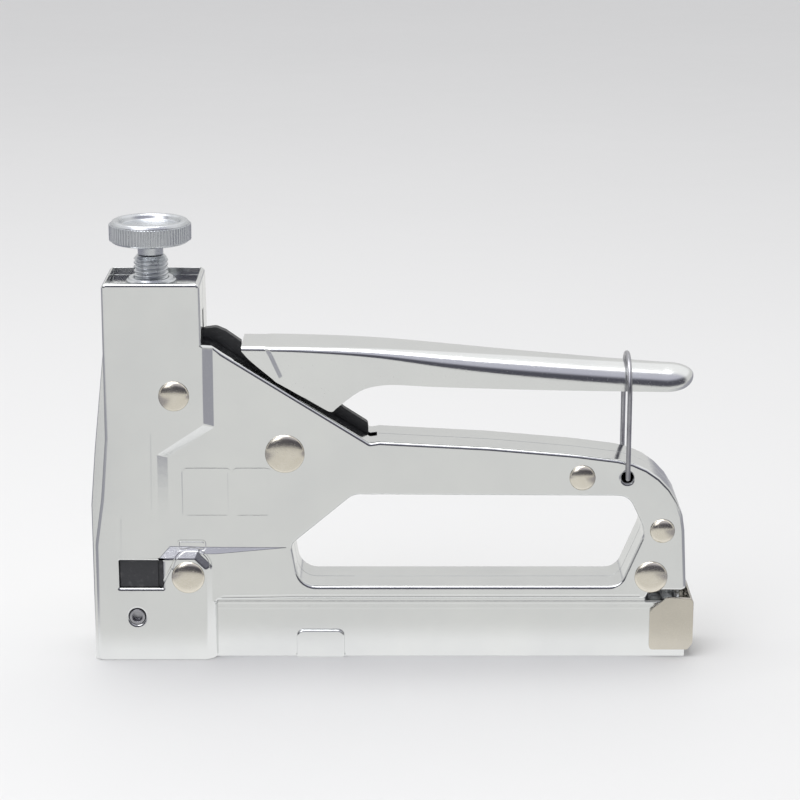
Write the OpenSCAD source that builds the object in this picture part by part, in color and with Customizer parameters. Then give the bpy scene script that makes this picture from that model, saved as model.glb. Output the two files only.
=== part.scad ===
// Three-way hand staple gun: two pressed steel half shells, a squeeze handle on a lever plate,
// a sprung plunger with its driver blade, and a pull-out staple pusher.
// Millimetres. X runs from the nose to the rear, Y across the tool, Z up from the base.
// The outlines are drawn from the nose's front face (x = 0) and the base (z = 0).

/* [Overall] */
// Length from the nose plate to the back of the pusher cap
tool_l = 177.5; // [172:0.5:190]
// Height of the head's side walls above the base
head_h = 114.4; // [110:0.2:118]
// Width across the raised head and nose
head_w = 24; // [22:0.5:30]
// Width across the recessed side panels and the hand loop
panel_w = 19.2; // [18:0.2:21]

/* [Sheet steel] */
// Thickness of the pressed shells
shell_t = 1.2; // [0.8:0.1:1.4]
// Thickness of the magazine, strap and cap sheets
sheet_t = 1; // [0.8:0.1:1.2]
// Gap left at the seam between the two shells
seam_gap = 0.2; // [0.1:0.05:0.4]

/* [Head and tension screw] */
// Distance of the screw axis from the nose's front face
screw_x = 18.2; // [17:0.1:19]
// Diameter of the tension screw
screw_d = 10; // [8:0.5:10.4]
// Diameter of the knurled knob
knob_d = 23.6; // [20:0.2:26]
// Height of the knurled knob
knob_h = 6.8; // [5:0.2:9]
// Height of the knob's underside above the head's rim
knob_rise = 9.6; // [8:0.2:13]
// Diameter of the bush's flange
bush_d = 14.6; // [13:0.2:18]

/* [Lever and handle] */
// Diameter of the sleeve that the lever turns on
sleeve_d = 8; // [7:0.2:9]
// Width across the handle over the lever
handle_w = 18.6; // [17:0.2:18.8]
// Width across the handle at its tail
tail_w = 13.6; // [12:0.2:15]
// Thickness of the lever plate
lever_t = 3; // [2:0.1:4]
// Radius of the lever's rounded tip
finger_r = 2; // [1.6:0.1:2.2]

/* [Plunger and blade] */
// Width across the plunger channel
plunger_w = 13.2; // [12:0.2:13.2]
// Width of the driver blade
blade_w = 11; // [9:0.2:12]
// Thickness of the driver blade
blade_t = 1.2; // [0.8:0.1:1.3]
// Outer diameter of the power spring
power_spring_d = 9.5; // [8:0.1:10]
// Wire diameter of the power spring
power_wire_d = 1.6; // [1.2:0.1:1.8]

/* [Magazine] */
// Height of the magazine channel's walls
channel_h = 20.2; // [18:0.2:20.6]
// Length of the strap that holds the channel
strap_l = 14.2; // [8:0.2:20]
// Diameter of the pusher's guide rod
rod_d = 4; // [3:0.2:5]

/* [Bail] */
// Wire diameter of the bail that locks the handle down
bail_wire_d = 1.4; // [1.2:0.1:2]
// Gap under the bail's arch, above the handle's tail
bail_gap = 1.4; // [1.2:0.1:3]

/* [Fits] */
// Radial clearance of shafts that turn or slide
running_gap = 0.05; // [0.02:0.01:0.1]
// Clearance between other parts that move past each other
slide_gap = 0.3; // [0.2:0.05:0.5]

/* [Hidden] */
$fn = 48;

chrome = [0.82, 0.83, 0.84];
nickel = [0.78, 0.75, 0.68];
zinc = [0.70, 0.71, 0.72];
black = [0.16, 0.16, 0.17];
spring_steel = [0.45, 0.46, 0.48];

// Half widths and the inner faces that follow from them
head_y = head_w / 2;
panel_y = panel_w / 2;
head_in = head_y - shell_t;
panel_in = panel_y - shell_t;
handle_y = handle_w / 2;
lever_y = lever_t / 2;
channel_out = panel_in - 0.1;
channel_in = channel_out - sheet_t;

// Shell outline: corners as [x, z, corner radius], anticlockwise from the nose's foot
nose_len = 36.3;
skirt_z = 18.3;
tail_z = 21;
head_front = 4.8;
head_back = 33;
slope_top = [39, 93.4];
slope_foot = [81.6, 66.4];
shell_corners = [
  [0.9, 0, 1.4], [nose_len, 0, 1.4], [nose_len, skirt_z, 0.6], [163, skirt_z, 1.4], [164.5, tail_z, 1],
  [175.1, tail_z, 1.5], [173.2, 58.8, 23], [141.6, 62.9, 60], [116.3, 65.1, 60], [84.4, 66.8, 2],
  [slope_foot[0], slope_foot[1], 0.8], [slope_top[0], slope_top[1], 2], [36.4, 95.6, 2],
  [head_back, 96, 0.8], [head_back, head_h, 1.4], [head_front, head_h, 1.4], [4.6, 68, 8],
  [3, 50, 8], [0.9, 36, 8]
];
// Finger hole, anticlockwise
hole_corners = [
  [60.6, 22.4, 6], [155.5, 22.4, 5], [162.6, 39.3, 6], [157.5, 50.2, 5], [76.7, 50.6, 5],
  [58.4, 35.3, 2.5]
];

// Raised head and nose: the foot of each pressed slope, and how far the slope runs in
step_x = 36.3;
step_z = 71.2;
step_slope = 0.65;
nose_step_x = 22.6;
foot_step_z = 34.8;
pad_edge = 66;
ramp_end_x = 57.6;
ramp_rise = 1;
ramp_drop = 0.3;
draft_run = 3.1;
step_rise = head_y - panel_y;

// Front plate: the nose's front face, from the base up to the head
front_profile = [[0, 0], [0, 48], [1.5, 65], [head_front, 94.8]];
front_back_x = 6.6;

// Mechanism positions
pivot = [56.8, 63.2];
finger = [25.3, 94.4];
roof_z = finger[1] + finger_r + slide_gap;
roof_t = 1.2;
roof_x = 23.7;
roof_end = 30.5;
shelf_z = 88;
plunger_z = 34;
plunger_front = screw_x - 11.7;
plunger_back = screw_x + 4.3;
plunger_t = 0.9;
blade_x = 1.3;
blade_top = 42;
cap_z = head_h - 2.2;
cap_t = 1.4;
knob_z = head_h + knob_rise;
cup_top = 103.8;
cup_t = 2.4;

// Rivets as [x, z, head diameter, shank radius]
head_rivet_at = [25, 81.2, 9, 1.8];
pivot_rivet_at = [pivot[0], pivot[1], 11.6, 2.6];
nose_rivet_at = [28, 26, 9.8, 2];
frame_rivets_at = [[143.8, 55.9, 7.7, 1.8], [167.6, 39.6, 7.4, 1.8], [164.6, 25.3, 9.8, 1.8]];
nose_pin_at = [12.7, 13.7];
nose_pin_d = 4.6;
dome_h = 1.6;
spacer_t = 1.1;

// Bumper window in each shell
window = [7.8, 20.5, 22.7, 31.6];

// Bail pivot, and the handle's outline corners as [x, z, corner radius]
bail_at = [157, 55.9];
bail_hole_r = 1.6;
handle_corners = [
  [44.4, 94, 3], [53.8, 85.2, 1.5], [55.2, 83.9, 1], [70.2, 75.6, 1.2], [80.5, 83.8, 14],
  [128, 82, 60], [166, 81.5, 12], [173.6, 83.2, 3], [176.4, 86.4, 0], [176, 92, 0], [120, 99, 0],
  [45.2, 104, 0]
];
// Crown of the handle at its stations, front to tip: [x, z of its top, half width, corner radius]
crown_stations = [
  [30, 95.3, handle_y, 1.8], [92, 94, handle_y, 4], [166, 88.1, tail_w / 2, tail_w / 2],
  [171.8, 85.8, tail_w / 2 - 2.4, 4.2]
];
handle_pin_at = [62, 82.9];
handle_pin_r = 2;

magazine_x = 2.8;
magazine_end = 175.2;
strap_x = 59.7;
strap_h = 8.4;
cap_x = 164.6;
cap_top = 18.8;
cap_foot = 2.4;
rod_z = 9.6;
follower_x = 6;
follower_l = 22;

function unit(v) = v / norm(v);
function xz(p) = [p[0], p[1]];
function turn_of(v) = atan2(v[1], v[0]);
function wrap(a) = a > 180 ? a - 360 : a < -180 ? a + 360 : a;

// Points of a closed outline whose corners [x, z, r] are rounded
function rounded(corners) = [
  for (i = [0 : len(corners) - 1])
    let (
      p = xz(corners[i]),
      r = corners[i][2],
      a = unit(xz(corners[(i + len(corners) - 1) % len(corners)]) - p),
      b = unit(xz(corners[(i + 1) % len(corners)]) - p),
      half = acos(max(-1, min(1, a * b))) / 2,
      sharp = r < 0.3 || half > 89,
      c = sharp ? p : p + unit(a + b) * r / sin(half),
      from = sharp ? p : p + a * r / tan(half),
      to = sharp ? p : p + b * r / tan(half),
      sweep = sharp ? 0 : wrap(turn_of(to - c) - turn_of(from - c)),
      steps = sharp ? 0 : max(1, ceil(abs(sweep) / (r > 30 ? 3 : 12)))
    )
    for (k = [0 : steps])
      sharp ? p : c + r * [
        cos(turn_of(from - c) + sweep * k / steps), sin(turn_of(from - c) + sweep * k / steps)
      ]
];

// The same corners with every edge moved out by d, or in where d is negative
function grown(corners, d) = [
  for (i = [0 : len(corners) - 1])
    let (
      p = xz(corners[i]),
      u = unit(p - xz(corners[(i + len(corners) - 1) % len(corners)])),
      v = unit(xz(corners[(i + 1) % len(corners)]) - p),
      n1 = [u[1], -u[0]],
      n2 = [v[1], -v[0]],
      convex = u[0] * v[1] - u[1] * v[0] > 0,
      q = p + (n1 + n2) * d / (1 + n1 * n2)
    )
    [q[0], q[1], max(0, corners[i][2] + (convex ? d : -d))]
];

// Draws the XZ outline of the children from y0 to y1
module side(y0, y1) {
  translate([0, y1, 0])
    rotate([90, 0, 0])
      linear_extrude(y1 - y0)
        children();
}

// Moves the tool so that its origin is the middle of its base
module place() {
  translate([-tool_l / 2, 0, 0])
    children();
}

// Round bar across the tool
module cross_bar(at, r, y0, y1) {
  translate([at[0], y1, at[1]])
    rotate([90, 0, 0])
      cylinder(r = r, h = y1 - y0);
}

module box(x0, x1, y0, y1, z0, z1) {
  translate([x0, y0, z0])
    cube([x1 - x0, y1 - y0, z1 - z0]);
}

// One pressed region: its edge slopes from the panel's level out to the raised level
module pressed(foot, face, level0, level1) {
  hull() {
    side(-level0, -level0 + 0.01)
      polygon(foot);
    side(-level1, -level1 + 0.01)
      polygon(face);
  }
}

// Raised head, nose and foot, with their sloped edges moved in by s
module raised_regions(level0, level1, s) {
  far = -6;
  tall = head_h + 6;
  head_foot = [[far, step_z - (step_x - far) * step_slope + s], [step_x - s, step_z + s], [step_x - s, tall], [far, tall]];
  head_face = [
    [far, step_z - (step_x - far) * step_slope + s + draft_run], [step_x - s - draft_run, step_z + s + draft_run / 2],
    [step_x - s - draft_run, tall], [far, tall]
  ];
  pressed(head_foot, head_face, level0, level1);
  pressed(
    [[far, far], [nose_step_x - s, far], [nose_step_x - s, 80], [far, 80]],
    [[far, far], [nose_step_x - s - draft_run, far], [nose_step_x - s - draft_run, 80], [far, 80]],
    level0, level1
  );
  cut = pad_edge - s * sqrt(2);
  face_cut = cut - draft_run * sqrt(2);
  face_x = nose_len - s - draft_run;
  face_z = foot_step_z - s - draft_run;
  pressed(
    [
      [far, far], [nose_len - s, far], [nose_len - s, cut - nose_len + s],
      [cut - foot_step_z + s, foot_step_z - s], [far, foot_step_z - s]
    ],
    [[far, far], [face_x, far], [face_x, face_cut - face_x], [face_cut - face_z, face_z], [far, face_z]],
    level0, level1
  );
  difference() {
    translate([0, 0, skirt_z - 1])
      linear_extrude(foot_step_z - s - ramp_drop - skirt_z + 1)
        polygon([
          [nose_step_x - draft_run, -level0 + 0.01], [nose_step_x - draft_run, -level0 - ramp_rise],
          [nose_len - s, -level0 - ramp_rise], [ramp_end_x, -level0], [ramp_end_x, -level0 + 0.01]
        ]);
    translate([0, -level0, foot_step_z - s - ramp_drop])
      rotate([atan2(draft_run, ramp_rise), 0, 0])
        translate([0, -20, 0])
          cube([tool_l, 20, 20]);
  }
}

// Inside of a shell seen from the side: open at the nose, the base, the head's top and the slope
module cavity_outline() {
  difference() {
    union() {
      polygon(rounded(grown(shell_corners, -shell_t)));
      translate([-1, -1])
        square([head_front + 2.2, 96]);
      translate([-1, -1])
        square([176 - shell_t, tail_z + 1.2]);
      translate([head_front + shell_t, head_h - 8])
        square([head_back - head_front - 2 * shell_t, 10]);
    }
    polygon(rounded(grown(hole_corners, shell_t)));
  }
}

// Slot for the lever, down the head's rear wall and the slope
module lever_slot() {
  polygon([
    [head_back - 4, shelf_z], [slope_foot[0] + 2, slope_foot[1] - 6], [slope_foot[0] + 2, slope_foot[1] + 6],
    [slope_top[0] + 2, 100], [slope_top[0], 104.5], [head_back - 4, 104.5]
  ]);
}

// Left shell; the right one is its mirror image
module half_shell() {
  run = sqrt(draft_run * draft_run + step_rise * step_rise);
  inner_shift = shell_t * (run - draft_run) / step_rise;
  difference() {
    intersection() {
      side(-head_y - 1, -seam_gap / 2)
        difference() {
          polygon(rounded(shell_corners));
          polygon(rounded(hole_corners));
        }
      union() {
        side(-panel_y, 0)
          translate([-2, -2])
            square([tool_l, head_h + 4]);
        raised_regions(panel_y, head_y, 0);
      }
    }
    side(-panel_in, 1)
      cavity_outline();
    intersection() {
      side(-head_in, 1)
        cavity_outline();
      raised_regions(panel_in, head_in, inner_shift);
    }
    side(-lever_y - 2 * slide_gap, 1)
      lever_slot();
    for (r = [head_rivet_at, pivot_rivet_at, nose_rivet_at, each frame_rivets_at])
      cross_bar(r, r[3] + running_gap, -head_y - 1, 1);
    cross_bar(nose_pin_at, nose_pin_d / 2 + running_gap, -head_y - 1, 1);
    cross_bar(bail_at, bail_hole_r, -head_y - 1, 1);
    box(window[0], window[1], -head_y - 1, 1, window[2], window[3]);
  }
}

module left_shell() {
  color(chrome)
    place()
      half_shell();
}

module right_shell() {
  color(chrome)
    place()
      mirror([0, 1, 0])
        half_shell();
}

// Nose plate: a bent channel whose flanges lie inside the shells
module front_plate() {
  flange_y = head_in - 0.1;
  outline = [each front_profile, [front_back_x + 2, 94.8], [front_back_x + 2, 40], [front_back_x, 36], [front_back_x, 0]];
  color(chrome)
    place()
      difference() {
        side(-flange_y, flange_y)
          polygon(outline);
        side(-flange_y + sheet_t, flange_y - sheet_t)
          translate([sheet_t, 0])
            polygon([
              [0, -1], [0, 48], [1.5, 65], [head_front, 96], [30, 96], [30, -1]
            ]);
        cross_bar(nose_pin_at, nose_pin_d / 2 + running_gap, -head_y - 1, head_y + 1);
      }
}

// Plate that closes the head's top and carries the bush
module top_cap() {
  color(chrome)
    place()
      difference() {
        box(head_front + shell_t, head_back - shell_t, -head_in, head_in, cap_z - cap_t, cap_z);
        translate([screw_x, 0, cap_z - cap_t - 1])
          cylinder(r = screw_d / 2 + 1, h = cap_t + 2);
      }
}

// Flanged bush that the tension screw runs in
module threaded_bush() {
  flange_t = 2;
  color(zinc)
    place()
      translate([screw_x, 0, 0])
        difference() {
          union() {
            translate([0, 0, cap_z - 4.4])
              cylinder(r = screw_d / 2 + 1, h = 4.4);
            translate([0, 0, cap_z])
              cylinder(r = bush_d / 2, h = flange_t * 0.6);
            translate([0, 0, cap_z + flange_t * 0.6])
              cylinder(r1 = bush_d / 2, r2 = bush_d / 2 - 0.8, h = flange_t * 0.4, $fn = 64);
          }
          translate([0, 0, cap_z - 6])
            cylinder(r = screw_d / 2 + running_gap, h = 12);
        }
}

// Tension screw: the threaded length, its chamfered tip and the plain neck under the knob
module tension_screw() {
  tip = cup_top + 0.2;
  neck_h = 2.4;
  color(zinc)
    place()
      translate([screw_x, 0, 0])
        rotate_extrude()
          polygon([
            [0, tip], [screw_d / 2 - 1, tip], [screw_d / 2, tip + 1], [screw_d / 2, knob_z - neck_h - 0.6],
            [screw_d * 0.36, knob_z - neck_h], [screw_d * 0.36, knob_z], [0, knob_z]
          ]);
}

// Knob: rolled rims, and a shallow dish in its top
module tension_knob() {
  rim = 0.9;
  r = knob_d / 2;
  color(zinc)
    place()
      translate([screw_x, 0, knob_z])
        rotate_extrude()
          polygon([
            [0, 0], [r - rim, 0], [r - 0.25, 0.25], [r, rim], [r, knob_h - rim], [r - 0.25, knob_h - 0.25],
            [r - rim, knob_h], [r - 2.2, knob_h], [r - 2.8, knob_h - 0.8], [0, knob_h - 0.8]
          ]);
}

// Cup that the screw presses on the power spring
module spring_cup() {
  color(zinc)
    place()
      translate([screw_x, 0, 0])
        rotate_extrude()
          polygon([
            [0, cup_top], [power_spring_d / 2, cup_top], [power_spring_d / 2, cup_top - cup_t],
            [power_spring_d / 2 - power_wire_d - 0.2, cup_top - cup_t],
            [power_spring_d / 2 - power_wire_d - 0.2, cup_top - cup_t - 2.4], [0, cup_top - cup_t - 2.4]
          ]);
}

// Round-wire coil along +Z between z0 and z1, with closed end turns
module coil(r, wire_r, z0, z1, turns, per_turn, sides) {
  n = ceil(turns * per_turn);
  lift = z1 - z0 - 2 * wire_r;
  function rise(t) = t < 1 / turns ? t * wire_r * 2 : t > 1 - 1 / turns ? lift - (1 - t) * wire_r * 2
    : wire_r * 2 / turns + (t - 1 / turns) / (1 - 2 / turns) * (lift - wire_r * 4 / turns);
  points = [
    for (i = [0 : n])
      for (k = [0 : sides - 1])
        let (
          a = 360 * turns * i / n,
          q = r + wire_r * cos(360 * k / sides)
        )
        [q * cos(a), q * sin(a), z0 + wire_r + rise(i / n) + wire_r * sin(360 * k / sides)]
  ];
  faces = [
    [for (k = [0 : sides - 1]) k],
    [for (k = [0 : sides - 1]) n * sides + sides - 1 - k],
    for (i = [0 : n - 1])
      for (k = [0 : sides - 1])
        let (m = (k + 1) % sides)
        each [
          [i * sides + k, (i + 1) * sides + k, (i + 1) * sides + m],
          [i * sides + k, (i + 1) * sides + m, i * sides + m]
        ]
  ];
  polyhedron(points, faces);
}

// Main spring, pressed between the plunger's floor and the cup
module power_spring() {
  color(spring_steel)
    place()
      translate([screw_x, 0, 0])
        coil(
          (power_spring_d - power_wire_d) / 2, power_wire_d / 2, plunger_z + 4.05, cup_top - cup_t - 0.05,
          14, 16, 8
        );
}

// Plunger: a channel round the spring, with a block for the blade and a roofed shelf over the lever
module plunger() {
  y = plunger_w / 2;
  inner_x = plunger_front + plunger_t;
  inner_y = y - plunger_t;
  color(zinc)
    place()
      difference() {
        union() {
          box(plunger_front, plunger_back, -y, y, plunger_z, roof_z + roof_t);
          box(blade_x + blade_t, plunger_front + 1, -blade_w / 2, blade_w / 2, plunger_z, plunger_z + 10);
          box(plunger_back - 1, roof_end, -y, y, shelf_z, roof_z + roof_t);
        }
        box(inner_x, roof_end + 1, -inner_y, inner_y, plunger_z + 4, roof_z);
        box(inner_x, roof_x, -inner_y, inner_y, roof_z - 1, roof_z + roof_t + 1);
        box(plunger_front - 1, plunger_front + 2, -y / 2, y / 2, plunger_z + 16, roof_z - 6);
        for (s = [-1, 1])
          translate([0, s * blade_w / 4, 0])
            blade_rivet_hole();
      }
  color(zinc)
    place()
      translate([screw_x, 0, plunger_z + 4])
        cylinder(r = power_spring_d / 2 - power_wire_d - 0.2, h = 3);
}

module blade_rivet_hole() {
  translate([blade_x - 1, 0, plunger_z + 5])
    rotate([0, 90, 0])
      cylinder(r = 1 + running_gap, h = 5);
}

// Driver blade, guided down behind the nose plate
module driver_blade() {
  color(spring_steel)
    place()
      difference() {
        box(blade_x, blade_x + blade_t, -blade_w / 2, blade_w / 2, 0.6, blade_top);
        for (s = [-1, 1])
          translate([0, s * blade_w / 4, 0])
            blade_rivet_hole();
      }
}

// Two flush rivets that join the blade to the plunger's block
module blade_rivets() {
  color(nickel)
    place()
      for (s = [-1, 1])
        translate([blade_x, s * blade_w / 4, plunger_z + 5])
          rotate([0, 90, 0])
            cylinder(r = 1, h = 4);
}

// Rubber block that stops the plunger; it shows in the window of each shell
module bumper() {
  lip = 0.6;
  color(black)
    place()
      difference() {
        union() {
          box(window[0] - 0.8, window[1] + 0.8, 0.2 - head_in, head_in - 0.2, channel_h, foot_step_z - draft_run - 0.4);
          box(window[0] - 0.8, nose_step_x - draft_run - 0.8, 0.2 - head_in, head_in - 0.2, channel_h, window[3] + 0.8);
          box(window[0] - 0.8, window[1] + 0.8, 0.2 - panel_in, panel_in - 0.2, channel_h, plunger_z - slide_gap);
          for (s = [-1, 1])
            translate([0, s * (head_in - 0.1), 0])
              box(window[0] + 0.15, window[1] - 1.4, -0.1 - lip / 2, lip / 2, window[2] + 0.15, window[3] - 0.15);
        }
        box(0, window[0] + 4, -blade_w / 2 - 0.4, blade_w / 2 + 0.4, channel_h - 1, channel_h + 4);
      }
}

// Form of the handle's crown through its stations, smaller by t
module crown(t) {
  for (i = [0 : len(crown_stations) - 2])
    hull()
      for (e = [crown_stations[i], crown_stations[i + 1]], s = [-1, 1])
        translate([e[0], s * (e[2] - e[3]), 0]) {
          translate([0, 0, e[1] - e[3]])
            sphere(r = e[3] - t, $fn = 32);
          translate([0, 0, 60])
            cylinder(r = e[3] - t, h = 1, $fn = 32);
        }
}

// Handle: a pressed channel with a rounded crown, open underneath
module handle() {
  color(chrome)
    place()
      difference() {
        intersection() {
          side(-panel_w, panel_w)
            polygon(rounded(handle_corners));
          crown(0);
        }
        intersection() {
          side(-panel_w, panel_w)
            square([tool_l, 110]);
          crown(shell_t);
        }
      }
}

// Lever plate: the tip under the plunger's roof, the pivot boss and the arm that lies in the handle
lever_corners = [
  [finger[0] - finger_r, finger[1] - finger_r, finger_r], [27, 88.5, 3], [46, 60, 8], [54, 53.6, 6],
  [64, 54.5, 6], [81.2, 64.4, 1], [81, 70.3, 1.5], [73.9, 74.9, 1], [62, 86, 3], [50, 90, 3],
  [44.1, 93.2, 0], [44.1, 94.9, 0.4], [39.6, 98.1, 2], [36.8, 99.3, 2], [33.2, 98.8, 2], [31.2, finger[1] + finger_r, 1],
  [finger[0] - finger_r, finger[1] + finger_r, finger_r]
];

module lever() {
  color(black)
    place()
      difference() {
        side(-lever_y, lever_y)
          polygon(rounded(lever_corners));
        cross_bar(pivot, sleeve_d / 2 + running_gap, -panel_y, panel_y);
        cross_bar(handle_pin_at, handle_pin_r + running_gap, -panel_y, panel_y);
      }
}

// Pin between the handle's sides that carries the lever in the handle
module handle_pin() {
  color(zinc)
    place()
      cross_bar(handle_pin_at, handle_pin_r, shell_t + running_gap - handle_y, handle_y - shell_t - running_gap);
}

// Sleeve between the shells that the lever turns on
module pivot_sleeve() {
  color(zinc)
    place()
      difference() {
        cross_bar(pivot, sleeve_d / 2, -panel_in, panel_in);
        cross_bar(pivot, pivot_rivet_at[3] + running_gap, -panel_y, panel_y);
      }
}

// Rivet across the tool, with a domed head on each outer face
module rivet(r, outer_y) {
  head_r = r[2] / 2;
  ball_r = (head_r * head_r + dome_h * dome_h) / (2 * dome_h);
  cross_bar(r, r[3], -outer_y, outer_y);
  for (s = [0, 1])
    mirror([0, s, 0])
      translate([r[0], -outer_y, r[1]])
        rotate([90, 0, 0])
          rotate_extrude()
            intersection() {
              translate([0, dome_h - ball_r])
                circle(r = ball_r, $fn = 96);
              square([head_r, dome_h]);
            }
}

module pivot_rivet() {
  color(nickel)
    place()
      rivet(pivot_rivet_at, panel_y);
}

module head_rivet() {
  color(nickel)
    place()
      rivet(head_rivet_at, head_y);
}

module nose_rivet() {
  color(nickel)
    place()
      rivet(nose_rivet_at, head_y);
}

module frame_rivets() {
  color(nickel)
    place()
      for (r = frame_rivets_at)
        rivet(r, panel_y);
}

// Tubes that hold the shells apart on the rivets
module spacer(r, y) {
  difference() {
    cross_bar(r, r[3] + running_gap + spacer_t, -y, y);
    cross_bar(r, r[3] + running_gap, -y - 1, y + 1);
  }
}

module frame_spacers() {
  color(zinc)
    place() {
      for (r = frame_rivets_at)
        spacer(r, panel_in);
      spacer(nose_rivet_at, head_in);
    }
}

// Hollow pin through the nose
module nose_pin() {
  color(spring_steel)
    place()
      difference() {
        cross_bar(nose_pin_at, nose_pin_d / 2, -head_y, head_y);
        for (s = [-1, 1])
          translate([0, s * (head_y - 1), 0])
            cross_bar(nose_pin_at, nose_pin_d / 2 - 0.8, -1.2, 1.2);
        box(0, 40, -channel_out - 0.05, channel_out + 0.05, 0, 40);
      }
}

// Torsion spring on the sleeve, a coil on each side of the lever; it lifts the handle again
module return_spring() {
  wire_r = 0.6;
  r = sleeve_d / 2 + wire_r + 0.25;
  color(spring_steel)
    place()
      for (s = [0, 1])
        mirror([0, s, 0])
          translate([pivot[0], -lever_y - slide_gap, pivot[1]])
            rotate([90, 0, 0])
              coil(r, wire_r, 0, panel_in - lever_y - 2 * slide_gap, 4, 18, 8);
}

// Staple magazine: a channel open at its top
module magazine_channel() {
  color(chrome)
    place()
      difference() {
        box(magazine_x, magazine_end, -channel_out, channel_out, 0, channel_h);
        box(magazine_x - 1, magazine_end + 1, -channel_in, channel_in, sheet_t, channel_h + 1);
        box(cap_x - 1.4, magazine_end + 1, -channel_out - 1, channel_out + 1, cap_top - 1.6, channel_h + 1);
        box(strap_x, strap_x + strap_l, -channel_out - 1, channel_out + 1, -1, sheet_t);
      }
}

// Strap let into the channel's floor, up over its sides
module channel_strap() {
  color(chrome)
    place()
      difference() {
        side(-channel_out - sheet_t, channel_out + sheet_t)
          polygon(rounded([
            [strap_x, 0, 0], [strap_x + strap_l, 0, 0], [strap_x + strap_l, strap_h, 2], [strap_x, strap_h, 2]
          ]));
        box(strap_x - 1, strap_x + strap_l + 1, -channel_out, channel_out, sheet_t, strap_h + 1);
      }
}

// Guide rod, fixed in the cap, with a stop head at its front
module pusher_rod() {
  color(zinc)
    place() {
      translate([follower_x + 2, 0, rod_z])
        rotate([0, 90, 0])
          cylinder(r = rod_d / 2, h = tool_l - sheet_t - follower_x - 2);
      translate([follower_x + 1, 0, rod_z])
        rotate([0, 90, 0])
          cylinder(r = rod_d / 2 + 0.8, h = 1.2);
    }
}

// Follower that pushes the staples, sliding on the rod
module pusher_follower() {
  y = channel_in - slide_gap;
  color(zinc)
    place()
      difference() {
        side(-y, y)
          polygon(rounded([
            [follower_x, sheet_t + slide_gap, 0.5], [follower_x + follower_l, sheet_t + slide_gap, 1],
            [follower_x + follower_l, 13, 2], [follower_x + 8, 16.4, 2], [follower_x, 16.4, 0.5]
          ]));
        translate([follower_x - 1, 0, rod_z])
          rotate([0, 90, 0])
            cylinder(r = rod_d / 2 + running_gap, h = follower_l + 2);
        translate([follower_x - 1, 0, rod_z])
          rotate([0, 90, 0])
            cylinder(r = rod_d / 2 + 1.1, h = 3.4);
      }
}

// Pusher spring on the rod, between the follower and the cap
module pusher_spring() {
  color(spring_steel)
    place()
      translate([follower_x + follower_l + 0.1, 0, rod_z])
        rotate([0, 90, 0])
          coil(rod_d / 2 + 0.9, 0.5, 0, tool_l - sheet_t - follower_x - follower_l - 0.2, 34, 10, 6);
}

// Pusher cap: bent sheet that closes the magazine's rear end
module end_cap() {
  y = channel_out + 0.1 + sheet_t;
  color(nickel)
    place()
      difference() {
        side(-y, y)
          polygon(rounded([
            [cap_x, cap_foot, 1], [tool_l - 1.5, cap_foot, 1], [tool_l, cap_foot + 2, 2], [tool_l, cap_top - 0.4, 1.5],
            [cap_x + 5, cap_top, 3], [cap_x, cap_top - 4, 2]
          ]));
        box(cap_x - 1, tool_l - sheet_t, -y + sheet_t, y - sheet_t, cap_foot - 1, cap_top + 1);
      }
}

// Wire bail: two legs hooked into the loop's sides, and an arch over the handle's tail
bail_y = panel_y + bail_wire_d / 2 + 0.3;
bail_under = crown_stations[1] + (crown_stations[2] - crown_stations[1])
  * (bail_at[0] - crown_stations[1][0]) / (crown_stations[2][0] - crown_stations[1][0]);
bail_top = bail_under[1] + bail_gap + bail_wire_d / 2;

module bail() {
  r = bail_wire_d / 2;
  bend_z = bail_top - bail_y;
  color(spring_steel)
    place() {
      for (s = [-1, 1])
        translate([bail_at[0], s * bail_y, bail_at[1]]) {
          cylinder(r = r, h = bend_z - bail_at[1]);
          sphere(r = r);
        }
      cross_bar(bail_at, r, -bail_y, -panel_in + 1);
      cross_bar(bail_at, r, panel_in - 1, bail_y);
      translate([bail_at[0], 0, bend_z])
        rotate([90, 0, -90])
          rotate_extrude(angle = 180)
            translate([bail_y, 0])
              circle(r = r);
    }
}

left_shell();
right_shell();
front_plate();
top_cap();
threaded_bush();
tension_screw();
tension_knob();
spring_cup();
power_spring();
plunger();
driver_blade();
blade_rivets();
bumper();
handle();
handle_pin();
lever();
pivot_sleeve();
pivot_rivet();
return_spring();
head_rivet();
nose_rivet();
frame_rivets();
frame_spacers();
nose_pin();
magazine_channel();
channel_strap();
pusher_rod();
pusher_follower();
pusher_spring();
end_cap();
bail();
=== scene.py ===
import math

import bmesh
import bpy
from mathutils import Matrix, Vector


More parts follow.
